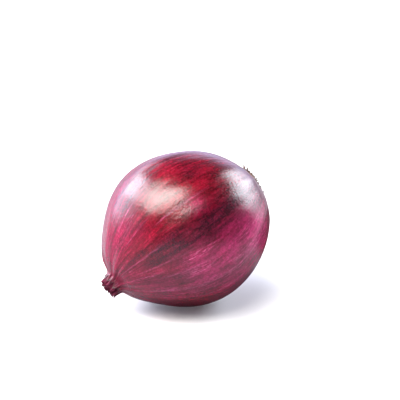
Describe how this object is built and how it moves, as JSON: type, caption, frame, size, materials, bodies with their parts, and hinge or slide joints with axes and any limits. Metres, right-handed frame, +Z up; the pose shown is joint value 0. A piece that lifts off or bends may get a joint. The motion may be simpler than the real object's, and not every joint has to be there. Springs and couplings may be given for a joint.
{
  "type": "red onion",
  "caption": "Whole red onion lying on its side: glossy magenta bulb tapering to a ragged dry neck, with a dried root tuft at the far end.",
  "frame": {"origin": "middle of the small flat spot that the onion rests on, under its weight", "axes": "+Z up; +X towards the neck, which dips below the horizontal; the root end is at -X"},
  "size_m": [0.0862, 0.0755, 0.0738],
  "materials": {
    "skin": "glossy magenta to crimson dry skin with dark meridional bands and fine veins",
    "dry_scale": "matt purple-brown dried leaf bases with pale ribs",
    "root": "corky brown basal plate with dried wiry roots"
  },
  "bodies": {
    "root": {"bulb": "skin", "dry_neck": "dry_scale", "root_tuft": "root"}
  },
  "joints": []
}
